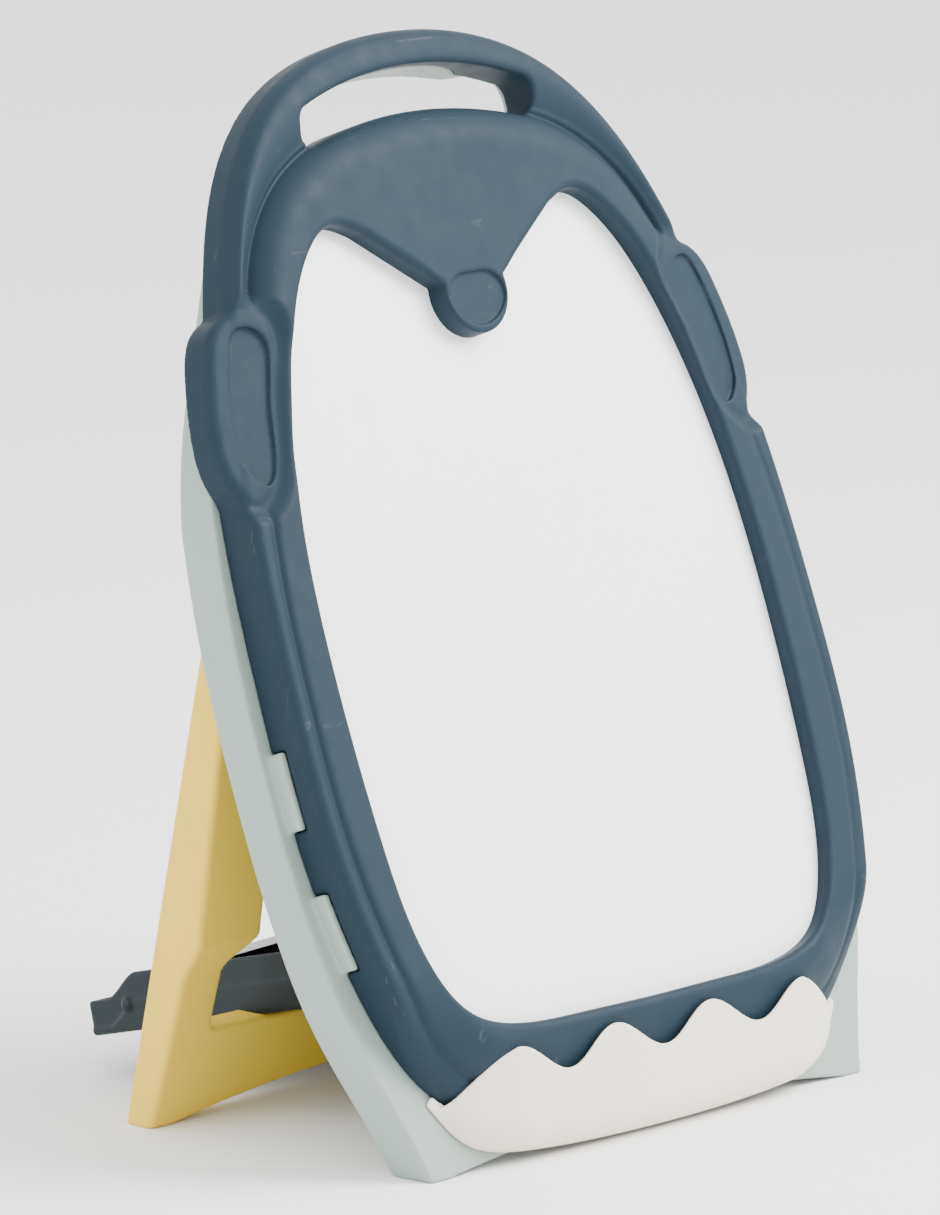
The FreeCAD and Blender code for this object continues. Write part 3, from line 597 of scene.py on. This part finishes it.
TRAY_CUT_TO = 21.0         # depth to which its walls are cut away round the frame


def pen_tray():
    """Trough with a thin wall: floor, back, and a toothed front that turns back at its ends."""
    voxel = 0.7
    grid = Grid((-154, -8, 0), (154, 27, 66), voxel)
    across = np.abs(grid.across)
    up, depth = grid.up, grid.depth
    lower = smooth_curve(TRAY_LOWER, step=1.0)
    outline = grid.distance(np.vstack([lower, [(150, 90), (-150, 90)]]))
    base = np.interp(across, *smooth_curve(TRAY_END_FRONT).T)
    steepness = np.sqrt(1 + np.gradient(base[:, 0, 0], voxel) ** 2)[:, None, None]
    front = base + TRAY_LEAN * (60 - up)
    outer = both(outline, (front - depth) / steepness, TRAY_CORNER)
    outer = both(outer, depth - FRAME_DEPTH, 1.0)
    wall = np.maximum(outer, -outer - TRAY_SHEET)

    teeth = TOOTH_MIDDLE - TOOTH_SWING * np.cos(math.tau * across / TOOTH_PITCH)
    edge = np.where(across < 100, teeth, np.interp(across, *smooth_curve(TRAY_END_EDGE).T))
    back_edge = TRAY_BACK_EDGE + TRAY_BACK_RISE * (1 - ease(across, *TRAY_BACK_ENDS))
    top = np.where(depth < FRAME_DEPTH - 2.5, edge, back_edge)
    slope = np.sqrt(1 + np.gradient(edge[:, 0, 0], voxel) ** 2)[:, None, None]
    wall = both(wall, (up - top) / slope, 0.7)
    frame_outline = grid.distance(smooth_curve(mirrored(FRAME_HALF), True))
    wall = without(wall, both(frame_outline - TAB_MIDDLE, TRAY_CUT_TO - depth))
    return moulded("pen_tray_moulding", grid, wall, board_place, "board", CREAM)


# ---- leg ----------------------------------------------------------------------------------
LEG_OUTSIDE = 165.0
LEG_FRONT = [(0, 9), (100, 14.5), (178, 20), (196, 13), (290, 7.5)]
LEG_LENGTH = 276.2
LEG_ARCH_FROM = 150.0
LEG_ARCH = 14.0
LEG_WALL = 3.0
LEG_RIBS = 4
LEG_RIB = 2.5
LEG_CHANNEL_TOP = 247.9
LEG_BACK = 9.0             # from the hinge line to its back face
LEG_BAR_TOP = 46.2
LEG_INSIDE = (137.0, 122.0)
LEG_STEP = (77, 94)


def leg_frame():
    """Rear leg, made about its hinge line: along runs down the rails, behind to the rear."""
    voxel = 1.0
    grid = Grid((-168, -12, -24), (168, 284, 12), voxel)
    along, behind = grid.depth, grid.up
    across = np.abs(grid.across)
    height = hinge_height(LEG_HINGE) - along * math.cos(LEG_TILT) + behind * math.sin(LEG_TILT)
    front = np.interp(along, *np.array(LEG_FRONT, float).T).astype(np.float32)
    bar = both(behind - LEG_BACK, -behind - front, 4.0)
    bar = both(bar, across - LEG_OUTSIDE, 3.5)
    step = ease(height, *LEG_STEP)
    inner = LEG_INSIDE[0] - (LEG_INSIDE[0] - LEG_INSIDE[1]) * step
    window = both(across - inner, LEG_BAR_TOP - height, 5.0)
    bar = without(bar, window, 3.0)
    reach = np.sqrt(along**2 + behind**2)
    bar = both(bar, np.where(along < 0, reach - LEG_BACK, -along - LEG_BACK))
    room = both(11.0 - 0 * along - reach, 0 * reach - 100)
    near_ears = np.minimum(across - 126.0, 158.0 - across)
    bar = without(bar, both(-room, near_ears), 0.8)
    bar = np.maximum(bar, PIN_BORE - reach)
    radius = (LEG_ARCH_FROM**2 + LEG_ARCH**2) / (2 * LEG_ARCH)
    arch = np.sqrt(np.maximum(radius**2 - across**2, 0)) - radius + LEG_ARCH
    ground = np.maximum(arch, 0) - height
    bar = both(bar, ground, 1.5)

    # The back of each rail and of the bar is a channel, parted by level ribs.
    channel = both(across - LEG_OUTSIDE + LEG_WALL, -behind - LEG_BACK + LEG_WALL, 2.0)
    window_wall = both(across - inner - LEG_WALL, LEG_BAR_TOP - LEG_WALL - height, 3.0)
    channel = without(channel, window_wall, 1.0)
    channel = both(channel, ground + LEG_WALL, 1.0)
    channel = both(channel, height - LEG_CHANNEL_TOP, 1.0)
    for number in range(1, 1 + LEG_RIBS):
        rib = LEG_BAR_TOP + number * (LEG_CHANNEL_TOP - LEG_BAR_TOP) / (1 + LEG_RIBS)
        channel = np.maximum(channel, LEG_RIB / 2 - np.abs(height - rib))
    bar = without(bar, channel, 0.5)
    place = swung_place(LEG_HINGE, (math.sin(LEG_TILT), -math.cos(LEG_TILT)),
                        (math.cos(LEG_TILT), math.sin(LEG_TILT)))
    return moulded("leg_frame_moulding", grid, bar, place, "leg", YELLOW)


def hinge_height(hinge):
    return hinge[0] * math.cos(LEAN) - hinge[1] * math.sin(LEAN)


# ---- shelf --------------------------------------------------------------------------------
SHELF_LENGTH = 232.0
SHELF_HALF_WIDTH = 100.0
SHELF_WALL_TOP = 8.5       # heights over the hinge line
SHELF_WALL_DROP = 11.5     # how much lower the walls are at the rear
SHELF_SEAM_DROP = 13.0
SHELF_UNDERSIDE = 20.1
SHELF_FLOOR = 17.1
SHELF_INSIDE = 97.0
BUTTON = (28.0, 7.0, 98.5, 4.2)   # from the rear end, below the hinge line, across, radius


def shelf_top(along):
    """Height of the shelf's side walls over its hinge line."""
    return SHELF_WALL_TOP - SHELF_WALL_DROP * ease(along, SHELF_LENGTH - 36, SHELF_LENGTH - 12)


def spreader_shelf():
    """Open shelf, made about its hinge line: along runs to the rear, over upwards."""
    voxel = 0.9
    grid = Grid((-105, -12, -23), (105, 236, 12), voxel)
    along, over = grid.depth, grid.up
    across = np.abs(grid.across)
    seam = shelf_top(along) - SHELF_SEAM_DROP
    half_width = SHELF_HALF_WIDTH - 0.9 * ease(over - seam, -0.8, 0.8)
    outer = both(across - half_width, over - shelf_top(along), 1.2)
    outer = both(outer, -SHELF_UNDERSIDE - over, 2.0)
    outer = both(outer, along - SHELF_LENGTH, 2.0)
    reach = np.sqrt(along**2 + over**2)
    nose = np.where((along < 0) & (over > 0), reach - SHELF_WALL_TOP, -along - SHELF_WALL_TOP)
    outer = both(outer, nose, 1.0)
    room = both(across - SHELF_INSIDE, -SHELF_FLOOR - over, 2.0)
    room = both(room, along - SHELF_LENGTH + 3.0, 2.0)
    outer = without(outer, room, 0.6)
    to_button = np.sqrt((along - SHELF_LENGTH + BUTTON[0]) ** 2 + (over + BUTTON[1]) ** 2
                        + (across - BUTTON[2]) ** 2)
    button = to_button - BUTTON[3]
    outer = either(outer, button, 0.5)
    outer = np.maximum(outer, PIN_BORE - reach)
    place = swung_place(SHELF_HINGE, (math.cos(SHELF_SLOPE), -math.sin(SHELF_SLOPE)),
                        (math.sin(SHELF_SLOPE), math.cos(SHELF_SLOPE)))
    return moulded("spreader_shelf_moulding", grid, outer, place, "shelf", SHELF_NAVY)


# ---- camera, light and floor --------------------------------------------------------------
CAMERA_AZIMUTH = math.radians(47.045)
CAMERA_ELEVATION = math.radians(10.792)
CAMERA_DISTANCE = 4.7098
CAMERA_TARGET = Vector((-0.02917, -0.03578, 0.24183))
CAMERA_LENS = 296.3
CAMERA_SENSOR = 36.0


def direction(azimuth, elevation):
    """Unit vector from the object towards a place at this azimuth, to the left of the front."""
    return Vector((-math.sin(azimuth) * math.cos(elevation),
                   -math.cos(azimuth) * math.cos(elevation), math.sin(elevation)))


def make_camera():
    data = bpy.data.cameras.new("camera")
    data.lens = CAMERA_LENS
    data.sensor_fit = "VERTICAL"
    data.sensor_height = CAMERA_SENSOR
    data.clip_end = 50
    camera = bpy.data.objects.new("camera", data)
    camera.location = CAMERA_TARGET + CAMERA_DISTANCE * direction(CAMERA_AZIMUTH, CAMERA_ELEVATION)
    camera.rotation_euler = Euler((math.pi / 2 - CAMERA_ELEVATION, 0, -CAMERA_AZIMUTH))
    bpy.context.scene.collection.objects.link(camera)
    bpy.context.scene.camera = camera


def soft_light(name, azimuth, elevation, distance, size, power):
    """Large soft box that faces the object."""
    data = bpy.data.lights.new(name, "AREA")
    data.shape = "RECTANGLE"
    data.size = size[0]
    data.size_y = size[1]
    data.energy = power
    light = bpy.data.objects.new(name, data)
    heading = direction(math.radians(azimuth), math.radians(elevation))
    light.location = Vector((0, 0, 0.25)) + distance * heading
    light.rotation_euler = heading.to_track_quat("Z", "Y").to_euler()
    bpy.context.scene.collection.objects.link(light)


WORLD_STRENGTH = 2.1
FLOOR_HALF = 8.0


def make_light():
    world = bpy.data.worlds.new("studio")
    world.use_nodes = True
    world.node_tree.nodes["Background"].inputs["Color"].default_value = (1, 1, 1, 1)
    world.node_tree.nodes["Background"].inputs["Strength"].default_value = WORLD_STRENGTH
    bpy.context.scene.world = world
    soft_light("key", -40, 42, 2.4, (1.6, 1.6), 135)
    soft_light("side", 100, 25, 2.4, (1.2, 1.8), 20)


def make_floor():
    material = bpy.data.materials.new("floor")
    material.use_nodes = True
    shader = material.node_tree.nodes["Principled BSDF"]
    shader.inputs["Base Color"].default_value = (0.93, 0.93, 0.93, 1)
    shader.inputs["Roughness"].default_value = 0.8
    mesh = bpy.data.meshes.new("floor")
    corners = [(x * FLOOR_HALF, y * FLOOR_HALF, 0) for x, y in ((-1, -1), (1, -1), (1, 1), (-1, 1))]
    mesh.from_pydata(corners, [], [(0, 1, 2, 3)])
    mesh.materials.append(material)
    floor = bpy.data.objects.new("floor", mesh)
    bpy.context.scene.collection.objects.link(floor)


# ---- build --------------------------------------------------------------------------------
make_camera()
make_light()
make_floor()
dress_cad_nodes()
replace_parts(front_frame(), "front_frame")
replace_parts(rear_shell(), "rear_shell")
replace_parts(pen_tray(), "pen_tray")
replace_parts(leg_frame(), "leg_frame")
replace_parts(spreader_shelf(), "spreader_shelf")
